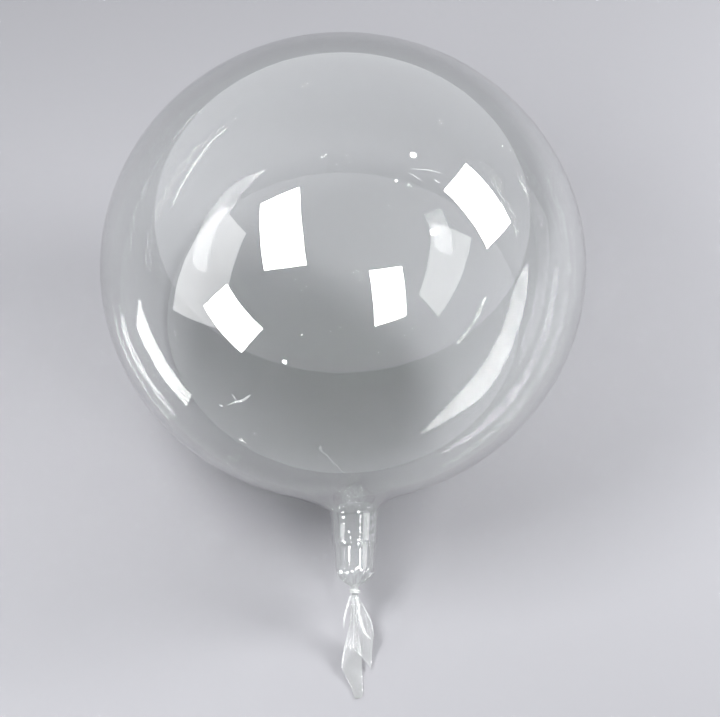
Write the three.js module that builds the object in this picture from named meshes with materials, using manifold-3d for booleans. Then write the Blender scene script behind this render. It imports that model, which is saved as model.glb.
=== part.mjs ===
// Clear bubble balloon, blown up, tied shut at the neck and lying loose on the floor.
// Millimetres, +Z up. The origin is the centre of the small flat spot that the bubble rests on.
// The neck leaves towards -Y and slopes down until the loose tail of film lies on the floor.

import * as THREE from "three";
import { mergeVertices } from "three/addons/utils/BufferGeometryUtils.js";
import Module from "manifold-3d";

const wasm = await Module();
wasm.setup();

// The bubble: a slightly flattened ball.
const BUBBLE_DIAMETER = 500;
const BUBBLE_HEIGHT = 484;
const REST_SPOT_RADIUS = 30;

// The neck: a tube of film with a wider, blown-out collar next to the bubble.
const NECK_OFFSET = 12; // the limp neck hangs a little to one side of the bubble's middle
const FLARE_WIDTH = 40; // how far out from the collar the bubble starts to draw in
const FLARE_DROP = 10;
const COLLAR_TOP_DIAMETER = 48.4;
const COLLAR_FOOT_DIAMETER = 46;
const COLLAR_LENGTH = 27.5;
const CREASE_LENGTH = 5; // where the collar steps in to the tube
const TUBE_TOP_DIAMETER = 42;
const TUBE_FOOT_DIAMETER = 39;
const TUBE_LENGTH = 29;

// The gather: the foot of the tube drawn in to pleats, and the waist that the tie grips.
const SHOULDER_LENGTH = 13.5;
const WAIST_DIAMETER = 7;
const PLEATS = 12;
const SHOULDER_PLEAT_SHARE = 0.1; // the depth of a pleat as a share of the radius
const WAIST_PLEAT_SHARE = 0.06;

// The tie: a clear band wound round the waist.
const TIE_THICKNESS = 2;
const TIE_TURN_HEIGHT = 3;
const TIE_TURNS = 2;
const TIE_VALLEY_SHARE = 0.45; // the thickness left between two turns
const TIE_CLEARANCE = 0.35;
const TIE_MARGIN = 1; // the bare waist above and below the band

// The tail: the loose end of the neck's film below the tie, crumpled into tongues.
const TAIL_LENGTH = 109;
const TAIL_STRAIGHT = 42; // the length before the tail bends to the floor
const TAIL_SPREAD = 20; // how far the film stands out to one side at its widest
const TAIL_LAYER_GAP = 3.2; // how far the tongues lie in front of and behind each other
const FILM_THICKNESS = 1.4; // the film is far thinner, and this stands for its folds
const TAIL_CLEARANCE = 0.3;

// How finely the round shapes are cut.
const SEGMENTS = 72;
const BUBBLE_RINGS = 30;
const FLARE_RINGS = 5;
const SHOULDER_RINGS = 5;
const TONGUE_STEPS = 14;
const TONGUE_COLUMNS = 6;
const TIE_STEPS = 6;

const half = (size) => size / 2;
const semiWidth = half(BUBBLE_DIAMETER);
const semiHeight = half(BUBBLE_HEIGHT);
const lerp = THREE.MathUtils.lerp;
const smooth = THREE.MathUtils.smoothstep;

// The outline, as distance from the neck's axis against distance below the bubble's centre.
const flareRadius = half(COLLAR_TOP_DIAMETER) + FLARE_WIDTH;
const flareStart = semiHeight * Math.sqrt(1 - (flareRadius / semiWidth) ** 2);
const flareSlope = ((semiHeight / semiWidth) ** 2 * flareRadius) / flareStart;
const flareCorner = flareStart + flareSlope * FLARE_WIDTH;
const collarTop = flareCorner + FLARE_DROP;
const collarFoot = collarTop + COLLAR_LENGTH;
const tubeTop = collarFoot + CREASE_LENGTH;
const tubeFoot = tubeTop + TUBE_LENGTH;
const waistTop = tubeFoot + SHOULDER_LENGTH;
const tieHeight = TIE_TURNS * TIE_TURN_HEIGHT;
const waistFoot = waistTop + tieHeight + 2 * TIE_MARGIN;

function outline() {
  const point = (radius, depth) => new THREE.Vector2(radius, depth);
  const points = [];
  const lastAngle = Math.acos(flareStart / semiHeight);
  for (let i = 0; i <= BUBBLE_RINGS; i++) {
    const angle = lerp(Math.PI, lastAngle, i / BUBBLE_RINGS);
    const onAxis = i === 0;
    points.push(point(onAxis ? 0 : semiWidth * Math.sin(angle), semiHeight * Math.cos(angle)));
  }
  const flare = new THREE.QuadraticBezierCurve(
    point(flareRadius, flareStart),
    point(half(COLLAR_TOP_DIAMETER), flareCorner),
    point(half(COLLAR_TOP_DIAMETER), collarTop),
  );
  points.push(...flare.getPoints(FLARE_RINGS).slice(1));
  points.push(point(half(COLLAR_FOOT_DIAMETER), collarFoot));
  points.push(point(half(TUBE_TOP_DIAMETER), tubeTop));
  const shoulder = new THREE.CubicBezierCurve(
    point(half(TUBE_FOOT_DIAMETER), tubeFoot),
    point(half(TUBE_FOOT_DIAMETER), lerp(tubeFoot, waistTop, 0.75)),
    point(half(TUBE_FOOT_DIAMETER) * 0.6, lerp(tubeFoot, waistTop, 0.85)),
    point(half(WAIST_DIAMETER), waistTop),
  );
  points.push(...shoulder.getPoints(SHOULDER_RINGS));
  points.push(point(half(WAIST_DIAMETER), waistFoot));
  points.push(point(0, waistFoot));
  return points;
}

// Moves every vertex of a geometry to where place(x, y, z) puts it.
function reshape(geometry, place) {
  const position = geometry.attributes.position;
  for (let i = 0; i < position.count; i++) {
    const moved = place(position.getX(i), position.getY(i), position.getZ(i));
    position.setXYZ(i, moved.x, moved.y, moved.z);
  }
  return geometry;
}

function toSolid(geometry) {
  const bare = geometry.clone();
  bare.deleteAttribute("normal");
  bare.deleteAttribute("uv");
  const merged = mergeVertices(bare, 1e-4);
  const vertProperties = Float32Array.from(merged.attributes.position.array);
  const triVerts = Uint32Array.from(merged.index.array);
  return new wasm.Manifold(new wasm.Mesh({ numProp: 3, vertProperties, triVerts }));
}

function toGeometry(solid) {
  const mesh = solid.getMesh();
  const geometry = new THREE.BufferGeometry();
  geometry.setAttribute("position", new THREE.BufferAttribute(mesh.vertProperties, 3));
  geometry.setIndex(new THREE.BufferAttribute(mesh.triVerts, 1));
  geometry.computeVertexNormals();
  return geometry;
}

// Pleats grow from nothing at the tube's foot to full depth on the shoulder, and tighten at the waist.
function pleatShare(depth) {
  const opening = smooth(depth, tubeFoot - SHOULDER_LENGTH, lerp(tubeFoot, waistTop, 0.6));
  const tightening = smooth(depth, lerp(tubeFoot, waistTop, 0.7), waistTop);
  return opening * lerp(SHOULDER_PLEAT_SHARE, WAIST_PLEAT_SHARE, tightening);
}

// In the balloon's own frame the bubble's centre is the origin, the neck runs down -Z,
// and +Y is the side that turns to the floor.
function bubbleAndNeck() {
  const lathe = new THREE.LatheGeometry(outline(), SEGMENTS);
  reshape(lathe, (x, depth, z) => {
    const turn = Math.atan2(z, x);
    const pleat = 1 + pleatShare(depth) * Math.cos(PLEATS * turn);
    const aside = NECK_OFFSET * smooth(depth, flareStart, collarTop);
    return { x: x * pleat + aside, y: z * pleat, z: -depth };
  });
  return toSolid(lathe);
}

// The balloon rolls until its tail's end meets the floor. A bend of the tail over the angle that
// the neck slopes at brings the end level, so the slope is where the end's height is right.
function supportHeight(slope) {
  return Math.hypot(semiWidth * Math.cos(slope), semiHeight * Math.sin(slope));
}

const spotShare = Math.sqrt(1 - (REST_SPOT_RADIUS / semiWidth) ** 2);

function tailEndHeight(slope) {
  const bendDrop = ((TAIL_LENGTH - TAIL_STRAIGHT) * (1 - Math.cos(slope))) / slope;
  return spotShare * supportHeight(slope) - (waistFoot + TAIL_STRAIGHT) * Math.sin(slope) - bendDrop;
}

function neckSlope() {
  let shallow = 0.01;
  let steep = Math.PI / 2;
  for (let i = 0; i < 50; i++) {
    const middle = half(shallow + steep);
    if (tailEndHeight(middle) > half(FILM_THICKNESS) + TAIL_CLEARANCE) shallow = middle;
    else steep = middle;
  }
  return half(shallow + steep);
}

const slope = neckSlope();
const bendRadius = (TAIL_LENGTH - TAIL_STRAIGHT) / slope;

// A point of the tail: along is the length below the waist, across is to the side of the neck's axis,
// and out is away from the tail's middle layer, towards the floor.
function tailPoint(along, across, out) {
  const turn = Math.max(0, along - TAIL_STRAIGHT) / bendRadius;
  const straight = Math.min(along, TAIL_STRAIGHT);
  return {
    x: NECK_OFFSET + across,
    y: -bendRadius * (1 - Math.cos(turn)) + out * Math.cos(turn),
    z: -waistFoot - straight - bendRadius * Math.sin(turn) - out * Math.sin(turn),
  };
}

// A tongue of crumpled film: a slab between two edges, folded into waves across its width.
// Each edge is given at equal steps from the waist to the tongue's tip, as a distance to the side:
// the first is a share of the waist's radius, and the rest are shares of the tail's spread.
const TONGUES = {
  long: {
    left: [-0.7, -0.3, -0.37, -0.45, -0.6, -0.63, -0.25, 0.01],
    right: [0.7, 0.21, 0.22, 0.24, 0.33, 0.4, 0.45, 0.27],
    reach: 1,
    layer: 0,
    waves: 2,
    waveHeight: 2.2,
  },
  leftStrand: {
    left: [-0.7, -0.45, -0.6, -0.61],
    right: [-0.2, -0.28, -0.46, -0.49],
    reach: 0.33,
    layer: -1,
    waves: 0.5,
    waveHeight: 1.2,
  },
  rightStrand: {
    left: [0, 0.1, 0.17, 0.33, 0.84],
    right: [0.7, 0.3, 0.4, 0.6, 0.97],
    reach: 0.43,
    layer: -1,
    waves: 0.5,
    waveHeight: 1.5,
  },
  outerSheet: {
    left: [-0.1, 0, 0.05, 0.1, 0.15, 0.2, 0.25],
    right: [0.75, 0.42, 0.75, 0.95, 0.92, 0.89, 0.87],
    reach: 0.66,
    layer: 1,
    waves: 1,
    waveHeight: 1.6,
  },
};

function tongueEdge(shares) {
  const across = (share, step) => share * (step === 0 ? half(WAIST_DIAMETER) : TAIL_SPREAD);
  return new THREE.SplineCurve(shares.map((share, step) => new THREE.Vector2(step, across(share, step))));
}

function filmTongue({ left, right, reach, layer, waves, waveHeight }) {
  const leftEdge = tongueEdge(left);
  const rightEdge = tongueEdge(right);
  const slab = new THREE.BoxGeometry(1, 1, 1, TONGUE_COLUMNS, TONGUE_STEPS, 1);
  reshape(slab, (x, y, z) => {
    const down = 0.5 - y;
    const side = x + 0.5;
    const along = lerp(-TIE_MARGIN, TAIL_LENGTH * reach, down);
    const across = lerp(leftEdge.getPoint(down).y, rightEdge.getPoint(down).y, side);
    const opening = smooth(along, 0, TAIL_LENGTH * 0.15);
    const closing = 1 - smooth(along, TAIL_LENGTH * 0.55, TAIL_LENGTH);
    const wave = waveHeight * Math.cos(2 * Math.PI * waves * side);
    const out = (layer * TAIL_LAYER_GAP + wave) * opening * closing;
    return tailPoint(along, across, out - z * FILM_THICKNESS);
  });
  return toSolid(slab);
}

// The floor plane in the balloon's own frame: the box is everything below it.
function lieDown(object) {
  const upright = Math.PI / 2 - slope;
  const centreHeight = spotShare * supportHeight(slope);
  const lean = (semiWidth ** 2 - semiHeight ** 2) * Math.sin(slope) * Math.cos(slope);
  const spotAside = (spotShare * lean) / supportHeight(slope);
  object.rotation.x = -upright;
  object.position.set(0, -spotAside, centreHeight);
  object.updateMatrixWorld(true);
  return object;
}

function floorBox(lying) {
  const size = 2 * BUBBLE_DIAMETER;
  const box = new THREE.BoxGeometry(size, size, size).translate(0, 0, -half(size));
  return toSolid(box.applyMatrix4(lying.matrixWorld.clone().invert()));
}

function tieBand() {
  const inner = half(WAIST_DIAMETER) * (1 + WAIST_PLEAT_SHARE) + TIE_CLEARANCE;
  const points = [new THREE.Vector2(inner, 0)];
  for (let i = 0; i <= TIE_TURNS * TIE_STEPS; i++) {
    const bulge = Math.sin((Math.PI * (i % TIE_STEPS)) / TIE_STEPS);
    const thickness = TIE_THICKNESS * lerp(TIE_VALLEY_SHARE, 1, bulge);
    points.push(new THREE.Vector2(inner + thickness, (i / TIE_STEPS) * TIE_TURN_HEIGHT));
  }
  points.push(new THREE.Vector2(inner, tieHeight), new THREE.Vector2(inner, 0));
  const band = new THREE.LatheGeometry(points, half(SEGMENTS));
  return band.rotateX(Math.PI / 2).translate(NECK_OFFSET, 0, TIE_MARGIN - waistFoot);
}

const film = new THREE.MeshStandardMaterial({ color: 0xe9eff2, roughness: 0.06, metalness: 0 });
film.transparent = true;
film.opacity = 0.3;
const tieMaterial = new THREE.MeshStandardMaterial({ color: 0xdfe3e4, roughness: 0.3, metalness: 0 });

const balloonLying = lieDown(new THREE.Group());
const tongues = Object.values(TONGUES).map(filmTongue);
const whole = tongues.reduce((joined, tongue) => joined.add(tongue), bubbleAndNeck());
const balloon = new THREE.Mesh(toGeometry(whole.subtract(floorBox(balloonLying))), film);
balloon.name = "balloon";

const tie = new THREE.Mesh(tieBand(), tieMaterial);
tie.name = "tie";

balloonLying.add(balloon, tie);

const part = new THREE.Group();
part.add(balloonLying);

export default part;
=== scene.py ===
import math

import bmesh
import bpy
import numpy as np
from mathutils import Matrix, Vector


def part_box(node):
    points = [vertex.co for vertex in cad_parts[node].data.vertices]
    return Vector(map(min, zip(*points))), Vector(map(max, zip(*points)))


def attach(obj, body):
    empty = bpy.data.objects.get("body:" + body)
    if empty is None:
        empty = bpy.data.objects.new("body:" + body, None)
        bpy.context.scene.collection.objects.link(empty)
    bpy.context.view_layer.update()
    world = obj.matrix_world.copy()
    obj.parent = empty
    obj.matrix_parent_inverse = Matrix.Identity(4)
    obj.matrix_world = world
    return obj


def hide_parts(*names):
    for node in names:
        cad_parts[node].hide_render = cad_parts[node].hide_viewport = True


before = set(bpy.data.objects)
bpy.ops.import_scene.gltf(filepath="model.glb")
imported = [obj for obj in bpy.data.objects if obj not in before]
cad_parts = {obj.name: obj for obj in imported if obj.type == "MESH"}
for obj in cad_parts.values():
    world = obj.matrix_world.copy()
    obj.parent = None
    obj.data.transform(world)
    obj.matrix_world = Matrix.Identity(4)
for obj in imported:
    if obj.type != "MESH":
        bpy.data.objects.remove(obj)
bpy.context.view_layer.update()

MM = 0.001
BODY = "root"

# The bag of film, blown up: the sizes of its outline, which are the part's own.
BUBBLE_WIDE = 250 * MM  # half the width
BUBBLE_HIGH = 242 * MM  # half the height, along the neck's axis
REST_SPOT_RADIUS = 30 * MM
NECK_OFFSET = 12 * MM
FLARE_WIDTH = 40 * MM
FLARE_DROP = 10 * MM
COLLAR_TOP = 24.2 * MM
COLLAR_FOOT = 23 * MM
COLLAR_LENGTH = 27.5 * MM
CREASE_LENGTH = 5 * MM
TUBE_TOP = 21 * MM
TUBE_FOOT = 19.5 * MM
TUBE_LENGTH = 29 * MM
SHOULDER_LENGTH = 13.5 * MM
WAIST_RADIUS = 3.5 * MM
WAIST_LENGTH = 8 * MM
TAIL_LENGTH = 109 * MM
TAIL_STRAIGHT = 42 * MM
FILM_WALL = 0.2 * MM  # the real film is 0.06 mm: thick enough here for its faces to stay apart

# How finely the film is divided.
FILM_COLUMNS = 240
BUBBLE_ROWS = 104
FLARE_ROWS = 16
NECK_ROWS = 40
SHOULDER_ROWS = 18
WAIST_ROWS = 4

# The photograph's frame, and where the bubble's middle lies in it.
IMAGE_SIZE = (720, 717)
BUBBLE_PIXEL = (343.1, 268.1)
BUBBLE_WIDE_PIXELS = 243.2  # half the width of its outline
CAMERA_DISTANCE = 2.7
SENSOR_WIDTH = 36  # in millimetres
FARTHEST_SEEN = 200


def smooth(value, low, high):
    """Eases from 0 at low to 1 at high, as 3t^2 - 2t^3."""
    t = np.clip((value - low) / (high - low), 0, 1)
    return t * t * (3 - 2 * t)


def window(value, low, high, ease):
    """1 between low and high, easing to 0 over a distance ease outside each end."""
    return smooth(value, low - ease, low) * (1 - smooth(value, high, high + ease))


def lerp(a, b, t):
    return a + (b - a) * t


def crease_wave(phase):
    """A wave of sharp crests and round valleys, from -1 to 1: 1 - 2 |sin| of half the phase."""
    return 1 - 2 * np.abs(np.sin(phase / 2))


# Where the balloon lies: the slope of its neck, and the middle of the bubble.
def bubble_middle(slope):
    """Middle of a flattened ball that lies on its rest spot, its short axis sloping down by slope.
    Its support height is hypot(wide cos, high sin), and the spot cuts it at a share of that."""
    support = math.hypot(BUBBLE_WIDE * math.cos(slope), BUBBLE_HIGH * math.sin(slope))
    share = math.sqrt(1 - (REST_SPOT_RADIUS / BUBBLE_WIDE) ** 2)
    lean = (BUBBLE_WIDE**2 - BUBBLE_HIGH**2) * math.sin(slope) * math.cos(slope) / support
    return Vector((0, -share * lean, share * support))


FIRST_SLOPE = 36  # in degrees
SLOPE_STEPS = 12

tie_low, tie_high = (Vector(corner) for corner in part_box("tie"))
tie_middle = (tie_low + tie_high) / 2
slope = math.radians(FIRST_SLOPE)
for _ in range(SLOPE_STEPS):  # nears the slope from the bubble's middle to the tie's in the frame
    reach = bubble_middle(slope) - tie_middle
    slope = math.atan2(reach.z, reach.y)
middle = bubble_middle(slope)
SIDE = np.array((1, 0, 0))
AWAY = np.array((0, math.sin(slope), -math.cos(slope)))  # from the camera's side to the floor's
DOWN = np.array((0, -math.cos(slope), -math.sin(slope)))  # along the neck


def place(side, away, down):
    """Points in the frame from distances to the side, away from the camera and down the neck."""
    return (
        np.array(middle)
        + np.asarray(side)[..., None] * SIDE
        + np.asarray(away)[..., None] * AWAY
        + np.asarray(down)[..., None] * DOWN
    )


flare_radius = COLLAR_TOP + FLARE_WIDTH
flare_start = BUBBLE_HIGH * math.sqrt(1 - (flare_radius / BUBBLE_WIDE) ** 2)
flare_slope = (BUBBLE_HIGH / BUBBLE_WIDE) ** 2 * flare_radius / flare_start
flare_corner = flare_start + flare_slope * FLARE_WIDTH
collar_top = flare_corner + FLARE_DROP
collar_foot = collar_top + COLLAR_LENGTH
tube_top = collar_foot + CREASE_LENGTH
tube_foot = tube_top + TUBE_LENGTH
waist_top = tube_foot + SHOULDER_LENGTH
waist_foot = waist_top + WAIST_LENGTH


def bezier(points, steps):
    """Points of a quadratic or cubic Bezier curve at equal steps, by Bernstein's sum."""
    points = np.array(points, float)
    n = len(points) - 1
    t = np.linspace(0, 1, steps + 1)[:, None]
    terms = [math.comb(n, k) * (1 - t) ** (n - k) * t**k * points[k] for k in range(n + 1)]
    return sum(terms)


def film_outline():
    """Radius and depth down the axis: an ellipse, a flare, the collar, the tube and the shoulder.
    The collar steps in to the tube by a smooth step, and each is a straight taper."""
    last = math.acos(flare_start / BUBBLE_HIGH)
    angle = np.linspace(math.pi, last, BUBBLE_ROWS + 1)[1:]
    ball = np.stack([BUBBLE_WIDE * np.sin(angle), BUBBLE_HIGH * np.cos(angle)], 1)
    flare = bezier(
        [(flare_radius, flare_start), (COLLAR_TOP, flare_corner), (COLLAR_TOP, collar_top)],
        FLARE_ROWS,
    )[1:]
    depth = np.linspace(collar_top, tube_foot, NECK_ROWS + 1)[1:]
    collar = lerp(COLLAR_TOP, COLLAR_FOOT, (depth - collar_top) / COLLAR_LENGTH)
    tube = lerp(TUBE_TOP, TUBE_FOOT, (depth - tube_top) / TUBE_LENGTH)
    neck = np.stack([lerp(collar, tube, smooth(depth, collar_foot, tube_top)), depth], 1)
    shoulder = bezier(
        [
            (TUBE_FOOT, tube_foot),
            (TUBE_FOOT, lerp(tube_foot, waist_top, 0.35)),
            (TUBE_FOOT * 0.45, lerp(tube_foot, waist_top, 0.75)),
            (WAIST_RADIUS, waist_top),
        ],
        SHOULDER_ROWS,
    )[1:]
    depth = np.linspace(waist_top, waist_foot, WAIST_ROWS + 1)[1:]
    waist = np.stack([np.full(WAIST_ROWS, WAIST_RADIUS), depth], 1)
    return np.concatenate([ball, flare, neck, shoulder, waist])


def grid_quads(rows, columns, closed):
    """Quads of a rows by columns grid of points; closed joins the last column to the first."""
    i = np.arange(rows - 1)[:, None]
    j = np.arange(columns if closed else columns - 1)[None, :]
    k = (j + 1) % columns
    here, below = i * columns, (i + 1) * columns
    return np.stack([here + j, here + k, below + k, below + j], -1).reshape(-1, 4).tolist()


def pole_fan(first, columns, pole):
    """Triangles from a ring of points to one pole."""
    return [(first + j, first + (j + 1) % columns, pole) for j in range(columns)]


def make_piece(name, points, faces, material, replaces, wall=0):
    """A finished piece at the origin, its faces outwards, with a wall inside them where it has
    one."""
    mesh = bpy.data.meshes.new(name)
    mesh.from_pydata(np.asarray(points).reshape(-1, 3).tolist(), [], faces)
    shape = bmesh.new()
    shape.from_mesh(mesh)
    bmesh.ops.recalc_face_normals(shape, faces=shape.faces)
    shape.to_mesh(mesh)
    shape.free()
    mesh.polygons.foreach_set("use_smooth", [True] * len(mesh.polygons))
    mesh.materials.append(material)
    piece = bpy.data.objects.new(name, mesh)
    bpy.context.scene.collection.objects.link(piece)
    if wall:
        solidify = piece.modifiers.new("wall", "SOLIDIFY")
        solidify.thickness = wall
        solidify.offset = -1
    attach(piece, BODY)
    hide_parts(replaces)
    return piece


# Materials
def linear(hex_colour):
    """A linear colour from an sRGB hex value."""
    channels = [int(hex_colour[i : i + 2], 16) / 255 for i in (1, 3, 5)]
    return [c / 12.92 if c <= 0.04045 else ((c + 0.055) / 1.055) ** 2.4 for c in channels] + [1]


def node(tree, kind, settings=None, **links):
    """Adds a node, sets its sockets and properties, and links its inputs from other nodes'
    outputs."""
    made = tree.nodes.new(kind)
    for key, value in (settings or {}).items():
        if key in made.inputs:
            made.inputs[key].default_value = value
        else:
            setattr(made, key, value)
    for key, (source, output) in links.items():
        tree.links.new(source.outputs[output], made.inputs[key.replace("_", " ")])
    return made


def pattern_scale(size_mm):
    """The scale of a noise pattern whose patches are the size given: one over it in metres."""
    return 1 / (size_mm * MM)


def new_material(name):
    material = bpy.data.materials.new(name)
    material.use_nodes = True
    tree = material.node_tree
    tree.nodes.clear()
    return material, tree


def finish_material(tree, shader):
    output = tree.nodes.new("ShaderNodeOutputMaterial")
    tree.links.new(shader.outputs["BSDF"], output.inputs["Surface"])


def stretch_film():
    """Blown polyurethane film: clear, glossy and all but colourless, with a faint haze in patches
    110 mm across and a faint ripple 38 mm long where it was drawn out."""
    material, tree = new_material("blown_clear_film")
    place_on = node(tree, "ShaderNodeTexCoord")
    haze = node(
        tree, "ShaderNodeTexNoise", {"Scale": pattern_scale(110), "Detail": 3},
        Vector=(place_on, "Object"),
    )
    rough = node(
        tree, "ShaderNodeMapRange",
        {"From Min": 0.4, "From Max": 0.75, "To Min": 0.004, "To Max": 0.02},
        Value=(haze, "Fac"),
    )
    ripple = node(
        tree, "ShaderNodeTexNoise", {"Scale": pattern_scale(38), "Detail": 2},
        Vector=(place_on, "Object"),
    )
    bump = node(
        tree, "ShaderNodeBump", {"Strength": 0.02, "Distance": 0.002}, Height=(ripple, "Fac"),
    )
    shader = node(
        tree, "ShaderNodeBsdfPrincipled",
        {"Base Color": linear("#fcfdfc"), "IOR": 1.5, "Transmission Weight": 1},
        Roughness=(rough, "Result"), Normal=(bump, "Normal"),
    )
    finish_material(tree, shader)
    return material


def gathered_film(name, colour, clearness, smoothest, roughest):
    """The same film, not blown up: fine creases dull its gloss, and where it is crushed they
    whiten it. They are 2 mm apart in the film, under two pixels of the photograph, so they are
    drawn 6 mm apart."""
    material, tree = new_material(name)
    place_on = node(tree, "ShaderNodeTexCoord")
    creases = node(
        tree, "ShaderNodeTexNoise", {"Scale": pattern_scale(6.2), "Detail": 4, "Distortion": 0.6},
        Vector=(place_on, "Object"),
    )
    rough = node(
        tree, "ShaderNodeMapRange",
        {"From Min": 0.35, "From Max": 0.7, "To Min": smoothest, "To Max": roughest},
        Value=(creases, "Fac"),
    )
    bump = node(
        tree, "ShaderNodeBump", {"Strength": 0.3, "Distance": 0.0005}, Height=(creases, "Fac"),
    )
    shader = node(
        tree, "ShaderNodeBsdfPrincipled",
        {"Base Color": linear(colour), "IOR": 1.5, "Transmission Weight": clearness},
        Roughness=(rough, "Result"), Normal=(bump, "Normal"),
    )
    finish_material(tree, shader)
    return material


def stretched_band():
    """Clear elastic band, pulled tight: milky where it is stretched, and finely uneven. The
    unevenness is 0.3 mm across on the band, too fine to show, so it is drawn 2.4 mm across."""
    material, tree = new_material("clear_elastic_band")
    place_on = node(tree, "ShaderNodeTexCoord")
    uneven = node(
        tree, "ShaderNodeTexNoise", {"Scale": pattern_scale(2.4), "Detail": 2},
        Vector=(place_on, "Object"),
    )
    rough = node(
        tree, "ShaderNodeMapRange",
        {"From Min": 0.3, "From Max": 0.7, "To Min": 0.1, "To Max": 0.24},
        Value=(uneven, "Fac"),
    )
    bump = node(
        tree, "ShaderNodeBump", {"Strength": 0.2, "Distance": 0.0003}, Height=(uneven, "Fac"),
    )
    shader = node(
        tree, "ShaderNodeBsdfPrincipled",
        {"Base Color": linear("#eef0ee"), "IOR": 1.52, "Transmission Weight": 0.72},
        Roughness=(rough, "Result"), Normal=(bump, "Normal"),
    )
    finish_material(tree, shader)
    return material


film = stretch_film()
creased_film = gathered_film("creased_clear_film", "#fafbfa", 0.95, 0.03, 0.12)
crushed_film = gathered_film("crushed_clear_film", "#f1f3f2", 0.85, 0.08, 0.26)
band = stretched_band()


# The bubble and its neck. Turns round the neck are in radians, from its right.
PLEATS = 12
SHOULDER_PLEAT = 0.13
WAIST_PLEAT = 0.06
WHITE_CREST = 3 * MM  # how far below the tube's foot the film begins to whiten, on a crest
WHITE_VALLEY = 11 * MM  # and in the valley beside it
FLUTES = 10
FLUTE_DEPTH = 0.18 * MM
FLUTE_TURN = 4.47
WRINKLE_DEPTH = 0.55 * MM
WRINKLE_SPACING = 1.6 * MM  # for each radian of the wave
WRINKLE_TURN = -0.87
DENT_DEPTH = 0.5 * MM
DENT_SPACING = 9 * MM
DENT_TURN = 3.9
PUCKERS = 19
PUCKER_DEPTH = 0.1 * MM
RIPPLE_DEPTH = 0.05 * MM


def pleats(turn):
    """Twelve pleats round the neck, unevenly spaced: 1 on their sharp crests, -1 in the round
    valleys."""
    return crease_wave(PLEATS * turn + 0.5 * np.sin(3 * turn + 1))


def pleat_share(turn, depth):
    """How far pleats draw the film in, as a share of the radius. They open from the tube's foot
    to the shoulder, and tighten again at the waist."""
    opening = smooth(depth, tube_foot - SHOULDER_LENGTH / 2, lerp(tube_foot, waist_top, 0.6))
    tightening = smooth(depth, lerp(tube_foot, waist_top, 0.7), waist_top)
    return opening * lerp(SHOULDER_PLEAT, WAIST_PLEAT, tightening) * (pleats(turn) - 1)


def neck_dents(turn, depth):
    """How far the limp neck's film stands out: ten flutes down it that leave flat facets between
    them, slanting wrinkles on the collar's right, a dent on its left, and puckers along the step
    to the tube."""
    flutes = FLUTE_DEPTH * np.cos(FLUTES * turn + FLUTE_TURN)
    flutes = flutes * window(depth, collar_top, tube_foot, 8 * MM)
    right = window(np.cos(turn - WRINKLE_TURN), 0.95, 1.1, 0.05)
    right = right * window(depth, collar_top + 4 * MM, collar_foot, 5 * MM)
    wrinkles = WRINKLE_DEPTH * np.cos(depth / WRINKLE_SPACING + 6 * turn) * right
    left = window(np.cos(turn - DENT_TURN), 0.86, 1.1, 0.1)
    left = left * window(depth, collar_top + 9 * MM, collar_foot, 6 * MM)
    dent = -DENT_DEPTH * left * np.cos((depth - collar_top) / DENT_SPACING)
    step = window(depth, collar_foot, tube_top, 4 * MM)
    uneven = 0.6 + 0.4 * np.cos(3 * turn)
    puckers = PUCKER_DEPTH * step * np.cos(PUCKERS * turn + 2 * np.sin(2 * turn)) * uneven
    return flutes + wrinkles + dent + puckers


def film_ripple(turn, depth):
    """The blown film's faint unevenness: three long low waves round and down the bubble, each up
    to 0.05 mm high, that fade to its two ends."""
    angle = np.arccos(np.clip(depth / BUBBLE_HIGH, -1, 1))
    waves = np.cos(3 * turn + 5 * angle) + np.cos(5 * turn - 4 * angle + 1)
    waves = waves + 0.6 * np.cos(9 * turn + 7 * angle + 2)
    return RIPPLE_DEPTH * waves * np.sin(angle) ** 2


def bubble_and_neck():
    """The outline turned round the axis: radius times (1 + pleats), plus dents and ripple. The
    neck is shifted to the side by a smooth step, and the floor cuts the bubble off at the rest
    spot. The pleats whiten the film towards the waist, further up on their crests."""
    outline = film_outline()
    turn = np.arange(FILM_COLUMNS) * 2 * math.pi / FILM_COLUMNS
    turn, radius = np.meshgrid(turn, outline[:, 0])
    depth = np.repeat(outline[:, 1:], FILM_COLUMNS, 1)
    radius = radius * (1 + pleat_share(turn, depth)) + neck_dents(turn, depth)
    radius = radius + film_ripple(turn, depth)
    aside = NECK_OFFSET * smooth(depth, flare_start, collar_top)
    points = place(radius * np.cos(turn) + aside, radius * np.sin(turn), depth).reshape(-1, 3)
    poles = np.stack([place(0, 0, -BUBBLE_HIGH), place(NECK_OFFSET, 0, waist_foot)])
    points = np.concatenate([points, poles])
    points[:, 2] = np.maximum(points[:, 2], 0)
    rows = len(outline)
    last_ring = (rows - 1) * FILM_COLUMNS
    faces = grid_quads(rows, FILM_COLUMNS, True)
    faces += pole_fan(0, FILM_COLUMNS, rows * FILM_COLUMNS)
    faces += pole_fan(last_ring, FILM_COLUMNS, rows * FILM_COLUMNS + 1)
    piece = make_piece("bubble_film", points, faces, film, "balloon", FILM_WALL)
    piece.data.materials.append(crushed_film)
    start = tube_foot + lerp(WHITE_VALLEY, WHITE_CREST, ((pleats(turn) + 1) / 2) ** 3)
    white = (depth > start)[:-1].reshape(-1)
    ends = np.repeat([False, True], FILM_COLUMNS)
    which = np.concatenate([white, ends]).astype(np.int32)
    piece.data.polygons.foreach_set("material_index", which)


# The tail of loose film
bend_radius = (TAIL_LENGTH - TAIL_STRAIGHT) / slope


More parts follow.
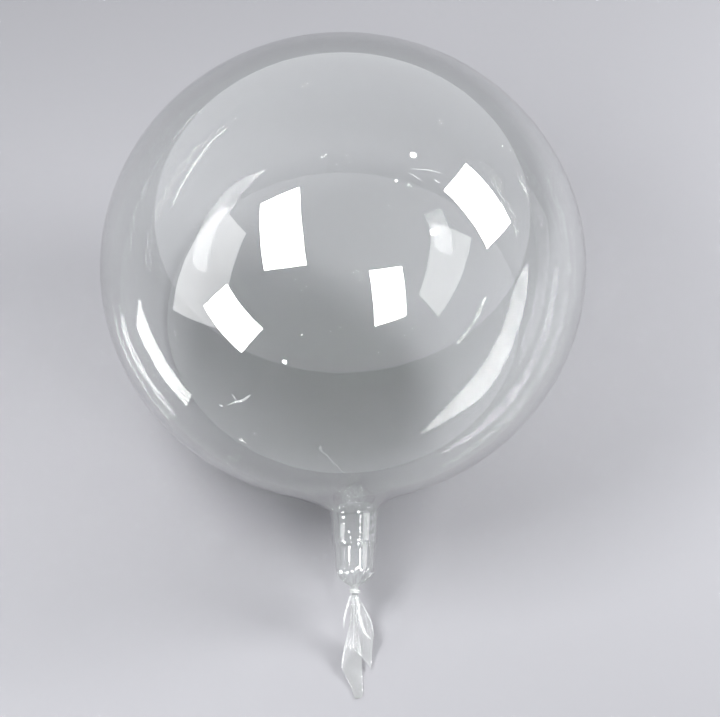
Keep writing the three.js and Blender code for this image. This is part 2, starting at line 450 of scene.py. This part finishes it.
def tail_point(along, across, out):
    """A point of the tail: straight down the neck's axis, then round an arc that ends level with
    the floor."""
    turn = np.maximum(0, along - TAIL_STRAIGHT) / bend_radius
    straight = np.minimum(along, TAIL_STRAIGHT)
    away = -bend_radius * (1 - np.cos(turn)) + out * np.cos(turn)
    down = waist_foot + straight + bend_radius * np.sin(turn) + out * np.sin(turn)
    return place(NECK_OFFSET + across, away, down)


def edge(pairs, along):
    """How far aside a line of the tail lies, by straight steps between (down the tail, aside)
    pairs in millimetres."""
    down, aside = np.array(pairs).T * MM
    return np.interp(along, down, aside)


# The sheets of film: two edges as pairs of millimetres down the tail and aside from the neck's
# axis, and where the sheet ends at its left and right. Pleats fan out from the waist, their height
# in millimetres, and fade by the length given.
SHEETS = {
    "long": dict(
        left=((-1, -2.4), (5.5, -4.4), (18, -5.5), (40.5, -6.1), (51, -9.8), (64, -12.3),
              (73.5, -13.9), (95.5, -3.6), (109, 0.1)),
        right=((-1, 2.4), (5.5, 4.6), (18, 3.4), (31, 3.8), (40.5, 4.4), (52, 6.4), (67.5, 7.5),
               (88, 8), (104.5, 9.1), (109, 5.1)),
        ends=(109, 109), layer=0, waves=5, height=1.1, fade=66 * MM, seed=0.0,
    ),
    "outer": dict(
        left=((-1, -0.4), (10, 1.2), (26, 2.3), (57, 2.3), (78, 3.3)),
        right=((-1, 2.6), (10, 8), (17.5, 12.1), (25, 16.2), (41.5, 20.4), (52, 18.6),
               (67.5, 17.8), (78, 16.5)),
        ends=(60, 76), layer=1, waves=4, height=0.9, fade=52 * MM, seed=3.4,
    ),
}
TAIL_LAYER_GAP = 3.2 * MM
SHEET_ROWS = 130
SHEET_COLUMNS = 64
COARSE_CRUMPLE = 0.3 * MM
FINE_CRUMPLE = 0.2 * MM
TIE_MARGIN = 1 * MM
LOWEST = 0.3 * MM  # how near the tail's end comes to the floor


def film_sheet(name, left, right, ends, layer, waves, height, fade, seed):
    """A sheet between two edges. Its height off the tail's middle layer is a fan of sharp pleats
    by its place across, plus slanting crumples of two other waves, all fading down it."""
    down = np.linspace(0, 1, SHEET_ROWS)[:, None]
    side = np.linspace(0, 1, SHEET_COLUMNS)[None, :]
    along = lerp(-TIE_MARGIN, lerp(ends[0] * MM, ends[1] * MM, side), down)
    across = lerp(edge(left, along), edge(right, along), side)
    opening = smooth(along, 0, TAIL_LENGTH * 0.15)
    closing = 1 - smooth(along, TAIL_LENGTH * 0.55, TAIL_LENGTH)
    sway = 0.8 * np.sin(along / (9 * MM) + seed)
    fan = height * MM * crease_wave(2 * math.pi * waves * side + sway)
    fan = fan * (1 - smooth(along, fade * 0.35, fade))
    crumple = COARSE_CRUMPLE * crease_wave(along / (2.1 * MM) + 9 * side + seed)
    crumple = crumple + FINE_CRUMPLE * crease_wave(along / (1.6 * MM) - 14 * side + 2 * seed)
    crumple = crumple * (1 - 0.8 * smooth(along, 30 * MM, 60 * MM))
    out = (layer * TAIL_LAYER_GAP + fan) * opening * closing + crumple * opening
    points = tail_point(along, across, out)
    points[..., 2] = np.maximum(points[..., 2], LOWEST)
    faces = grid_quads(SHEET_ROWS, SHEET_COLUMNS, False)
    make_piece("tail_" + name, points, faces, creased_film, "balloon", FILM_WALL)


# Film rolled in to strands, and sharp folds: a line down the tail as pairs of millimetres, how
# wide it is, and how far it lies off the tail's middle layer, less than nothing towards the camera.
FOLDS = {
    "left_strand": (
        ((-1, -1.5), (2, -4.2), (10.5, -7.3), (15.5, -8.7), (26, -11.1), (35, -11.3)),
        2.3, -2.4,
    ),
    "right_strand": (
        ((-1, 1.5), (8, 3.2), (14.5, 4.6), (18, 3.6), (23.5, 5.4), (34.5, 8.2), (41.5, 12.2),
         (46.5, 18.2)),
        3.2, -2.6,
    ),
    "middle_fold": (((-1, -0.2), (10, -0.4), (20, -1), (40, -0.9), (57, -2.6)), 1.3, -1),
    "second_fold": (((-1, 0.6), (8, 1.4), (34, 2.2)), 1.1, -1),
    "third_fold": (((-1, -0.9), (12, -2.6), (20, -3.4), (34, -5.4), (50, -9.4)), 1.1, -0.6),
    "edge_fold": (((42, -6.6), (51, -9.6), (64, -12.1), (72, -13.3), (76, -12.6)), 1.5, 0),
    "short_fold": (((54, 2.6), (58, 4), (63, 6)), 1.9, 0),
    "outer_fold": (((8, 7), (17.5, 11.9), (25, 16), (41, 20)), 1, 2.6),
}
FOLD_ROWS = 100
FOLD_COLUMNS = 12
FOLD_SOFTENING = 9  # over how many rows the corners of a fold's line are rounded


def closed_tube(name, rings, material, replaces):
    """A tube through rings of points, each end closed by a fan to the middle of its ring."""
    rows, columns = rings.shape[:2]
    points = np.concatenate([rings.reshape(-1, 3), rings[[0, -1]].mean(1)])
    faces = grid_quads(rows, columns, True)
    faces += pole_fan(0, columns, rows * columns)
    faces += pole_fan((rows - 1) * columns, columns, rows * columns + 1)
    make_piece(name, points, faces, material, replaces)


def film_fold(name, line, wide, off):
    """A flattened roll of film along a line: an oval section square to the line, half as deep as
    it is wide, uneven by two waves and tapering to its lower end."""
    down, aside = np.array(line).T * MM
    run = np.concatenate([[0], np.cumsum(np.hypot(np.diff(down), np.diff(aside)))])
    t = np.linspace(0, 1, FOLD_ROWS)
    along, across = (np.interp(t * run[-1], run, values) for values in (down, aside))
    soft = np.ones(FOLD_SOFTENING) / FOLD_SOFTENING
    along, across = (
        np.convolve(np.pad(values, FOLD_SOFTENING // 2, "edge"), soft, "valid")
        for values in (along, across)
    )
    step = np.stack([np.gradient(along), np.gradient(across)])
    step = (step / np.linalg.norm(step, axis=0))[:, :, None]
    section = np.arange(FOLD_COLUMNS)[None, :] * 2 * math.pi / FOLD_COLUMNS
    travel = (t * run[-1])[:, None]
    coarse = 0.22 * np.sin(travel / (1.1 * MM) + wide)
    fine = 0.14 * np.sin(travel / (0.6 * MM) + 2 * off)
    tapering = (1 - 0.75 * smooth(t, 0.7, 1))[:, None]
    rounding = smooth(t, -0.08, 0.1)[:, None]
    half = wide * MM / 2 * (1 + coarse + fine) * tapering * rounding
    sideways = half * np.cos(section)
    settling = smooth(along, 0, 16 * MM)[:, None]
    out = off * MM * settling + half * 0.5 * np.sin(section)
    along = along[:, None] - sideways * step[1]
    across = across[:, None] + sideways * step[0]
    rings = tail_point(along, across, out)
    closed_tube("tail_" + name, rings, crushed_film, "balloon")


# The tie
TIE_TURNS = 2.1
TIE_START = 0.9  # in radians round the neck
TIE_HALF_HEIGHT = 0.75 * MM
TIE_HALF_THICKNESS = 0.95 * MM
TIE_HEIGHT = 6 * MM
TIE_CLEARANCE = 0.35 * MM
TIE_ROWS = 220
TIE_COLUMNS = 16


def wound_tie():
    """A band wound in a helix round the waist: an oval section carried along it, tapering to a
    point at both ends, which tuck in against the turn beside them."""
    t = np.linspace(0, 1, TIE_ROWS)[:, None]
    section = np.arange(TIE_COLUMNS)[None, :] * 2 * math.pi / TIE_COLUMNS
    turn = t * TIE_TURNS * 2 * math.pi + TIE_START
    taper = np.sqrt(np.clip(np.minimum(t, 1 - t) / 0.03, 0.02, 1))
    ring = WAIST_RADIUS * (1 + WAIST_PLEAT) + TIE_CLEARANCE + TIE_HALF_THICKNESS
    radius = ring + TIE_HALF_THICKNESS * taper * np.cos(section)
    travel = lerp(TIE_MARGIN + TIE_HALF_HEIGHT, TIE_MARGIN + TIE_HEIGHT - TIE_HALF_HEIGHT, t)
    depth = waist_top + travel + TIE_HALF_HEIGHT * taper * np.sin(section)
    rings = place(NECK_OFFSET + radius * np.cos(turn), radius * np.sin(turn), depth)
    closed_tube("wound_tie", rings, band, "tie")


# Pinched creases of the blown film: points as degrees round the neck's axis and down from it, as
# the bubble's middle sees them, and how wide the crease is in millimetres.
CREASES = {
    "low_left": (
        ((-122.7, 55.1), (-119.5, 56), (-116.9, 56.5), (-115.3, 57.5), (-114.2, 58)), 2.6,
    ),
    "low_left_branch": (((-119.8, 58.1), (-119.4, 57.1), (-119.2, 56)), 2),
    "low_left_dot": (((-125.5, 55.1), (-124.4, 54.8)), 2),
    "low_middle_head": (((-97, 42.8), (-97.3, 41.5), (-96.9, 40)), 2.4),
    "low_middle": (
        ((-97.2, 40.7), (-95.3, 39.2), (-93.8, 36.3), (-91.2, 34), (-89.7, 31.8), (-86.7, 32.5)),
        1.4,
    ),
    "high_right": (((-73.8, 110.9), (-69.4, 110.7), (-65.9, 109.9)), 1.2),
    "high_right_low": (((-74.4, 109.9), (-73, 109.2), (-71.5, 108)), 1.1),
    "high_right_dot": (((-68.2, 108.3), (-67, 107.5)), 1.3),
}
CREASE_ROWS = 40
CREASE_COLUMNS = 10


def film_crease(name, line, wide):
    """A low ridge on the blown film along a line: an oval section half sunk in the wall, half as
    deep as it is wide, tapering to both ends."""
    turn, angle = np.radians(line).T
    t = np.linspace(0, 1, CREASE_ROWS)
    at = np.linspace(0, 1, len(turn))
    turn, angle = np.interp(t, at, turn), np.interp(t, at, angle)
    ring = BUBBLE_WIDE * np.sin(angle)
    spine = place(ring * np.cos(turn), ring * np.sin(turn), BUBBLE_HIGH * np.cos(angle))
    outward = spine - np.array(middle)
    outward = outward / np.linalg.norm(outward, axis=1)[:, None]
    sideways = np.cross(outward, np.gradient(spine, axis=0))
    sideways = sideways / np.linalg.norm(sideways, axis=1)[:, None]
    section = np.arange(CREASE_COLUMNS)[None, :, None] * 2 * math.pi / CREASE_COLUMNS
    half = (wide * MM / 2 * (0.08 + 0.92 * np.sin(math.pi * t) ** 0.7))[:, None, None]
    across = sideways[:, None] * half * np.cos(section)
    up = outward[:, None] * half * 0.5 * np.sin(section)
    rings = spine[:, None] + across + up
    closed_tube("crease_" + name, rings, crushed_film, "balloon")


bubble_and_neck()
for name, shape in SHEETS.items():
    film_sheet(name, **shape)
for name, facts in FOLDS.items():
    film_fold(name, *facts)
for name, facts in CREASES.items():
    film_crease(name, *facts)
wound_tie()


# Floor, lights and camera
FLOOR_REACH = 60
FLOOR_TOP = -0.3 * MM  # a hair below the film, so that their faces stay apart
FLOOR_SIDES = 96


def matte_floor():
    """A sheet of pale matt board. Its grain is 0.3 mm across, too fine to show, so it is drawn
    3 mm across."""
    material, tree = new_material("pale_matt_board")
    place_on = node(tree, "ShaderNodeTexCoord")
    grain = node(
        tree, "ShaderNodeTexNoise", {"Scale": pattern_scale(3), "Detail": 2},
        Vector=(place_on, "Object"),
    )
    bump = node(
        tree, "ShaderNodeBump", {"Strength": 0.05, "Distance": 0.0005}, Height=(grain, "Fac"),
    )
    shader = node(
        tree, "ShaderNodeBsdfPrincipled",
        {"Base Color": linear("#727275"), "Roughness": 0.85, "Specular IOR Level": 0.2},
        Normal=(bump, "Normal"),
    )
    finish_material(tree, shader)
    return material


def floor():
    turns = [2 * math.pi * k / FLOOR_SIDES for k in range(FLOOR_SIDES)]
    rim = [(FLOOR_REACH * math.cos(t), FLOOR_REACH * math.sin(t), FLOOR_TOP) for t in turns]
    mesh = bpy.data.meshes.new("floor")
    mesh.from_pydata(rim, [], [tuple(range(FLOOR_SIDES))])
    mesh.materials.append(matte_floor())
    board = bpy.data.objects.new("floor", mesh)
    bpy.context.scene.collection.objects.link(board)


# The lights, from the bubble's middle: where each one's middle is, the directions of its width and
# its height, its size in metres and its radiance. Their mirror images in the film lie where the
# photograph has them: the two strips light the neck, and show in the bubble inside the softboxes'
# images.
SOFTBOXES = {
    "softbox_left": (
        (-0.467, -0.342, 0.91), (0.981, 0.183, -0.07), (-0.126, 0.863, 0.49), (0.398, 0.601), 42,
    ),
    "softbox_right": (
        (1.286, 0.165, 0.794), (0.577, -0.481, -0.66), (0.359, 0.876, -0.323), (0.747, 0.54), 42,
    ),
    "reflector_left": (
        (-0.933, -0.346, 0.558), (0.197, -0.908, 0.371), (-0.198, 0.333, 0.922),
        (0.454, 0.987), 3.5,
    ),
    "strip_front": (
        (0.659, -1.226, 0.883), (0.903, 0.254, -0.347), (0, 0.807, 0.591), (0.0845, 0.4485), 60,
    ),
    "strip_left": (
        (-0.92, -0.759, 0.312), (0.6, -0.473, 0.646), (0, 0.807, 0.591), (0.08, 0.066), 40,
    ),
}
# The bulbs, from the bubble's middle too: where each one is, its radius and its radiance.
LAMPS = {
    "lamp_high": ((1.027, 0.723, 1.894), 0.043, 150),
    "lamp_low": ((0.511, 0.063, 1.331), 0.01, 150),
}
WORLD_STRENGTH = 1.2
INNER_LIGHT_LIMIT = 45  # high enough to let the film's inner reflections shine in full


def area_light(name, at, across, up, size, radiance):
    """A rectangle that shines towards the bubble with the radiance given: its power is pi times
    its area times that."""
    light = bpy.data.lights.new(name, "AREA")
    light.shape = "RECTANGLE"
    light.size, light.size_y = size
    light.energy = math.pi * size[0] * size[1] * radiance
    across = Vector(across).normalized()
    normal = across.cross(Vector(up)).normalized()
    place_it = Matrix((across, normal.cross(across), normal)).transposed().to_4x4()
    place_it.translation = middle + Vector(at)
    lamp = bpy.data.objects.new(name, light)
    lamp.matrix_world = place_it
    bpy.context.scene.collection.objects.link(lamp)


def point_light(name, at, radius, radiance):
    """A bare bulb: its power is 4 pi^2 times its radius squared times its radiance."""
    light = bpy.data.lights.new(name, "POINT")
    light.shadow_soft_size = radius
    light.energy = 4 * math.pi**2 * radius**2 * radiance
    bulb = bpy.data.objects.new(name, light)
    bulb.location = middle + Vector(at)
    bpy.context.scene.collection.objects.link(bulb)


def soft_world():
    world = bpy.data.worlds.new("studio")
    world.use_nodes = True
    background = world.node_tree.nodes["Background"]
    background.inputs["Color"].default_value = linear("#e6e8ec")
    background.inputs["Strength"].default_value = WORLD_STRENGTH
    bpy.context.scene.world = world


def camera():
    """Looks square on to the neck, from in front and above, at the point that the photograph's
    middle shows, through a lens that gives the bubble its width in the photograph."""
    focal = BUBBLE_WIDE_PIXELS * math.sqrt(CAMERA_DISTANCE**2 - BUBBLE_WIDE**2) / BUBBLE_WIDE
    per_pixel = CAMERA_DISTANCE / focal
    right = (IMAGE_SIZE[0] / 2 - BUBBLE_PIXEL[0]) * per_pixel
    down = (IMAGE_SIZE[1] / 2 - BUBBLE_PIXEL[1]) * per_pixel
    lens = bpy.data.cameras.new("camera")
    lens.sensor_width = SENSOR_WIDTH
    lens.lens = focal * lens.sensor_width / IMAGE_SIZE[0]
    lens.clip_end = FARTHEST_SEEN
    viewer = bpy.data.objects.new("camera", lens)
    toward = -Vector(AWAY)
    aim = middle + right * Vector(SIDE) + down * Vector(DOWN)
    turn = Matrix((Vector(SIDE), -Vector(DOWN), toward)).transposed().to_4x4()
    turn.translation = aim + CAMERA_DISTANCE * toward
    viewer.matrix_world = turn
    bpy.context.scene.collection.objects.link(viewer)
    bpy.context.scene.camera = viewer


floor()
for name, facts in SOFTBOXES.items():
    area_light(name, *facts)
for name, facts in LAMPS.items():
    point_light(name, *facts)
soft_world()
camera()
bpy.context.scene.view_settings.view_transform = "Standard"
bpy.context.scene.cycles.sample_clamp_indirect = INNER_LIGHT_LIMIT
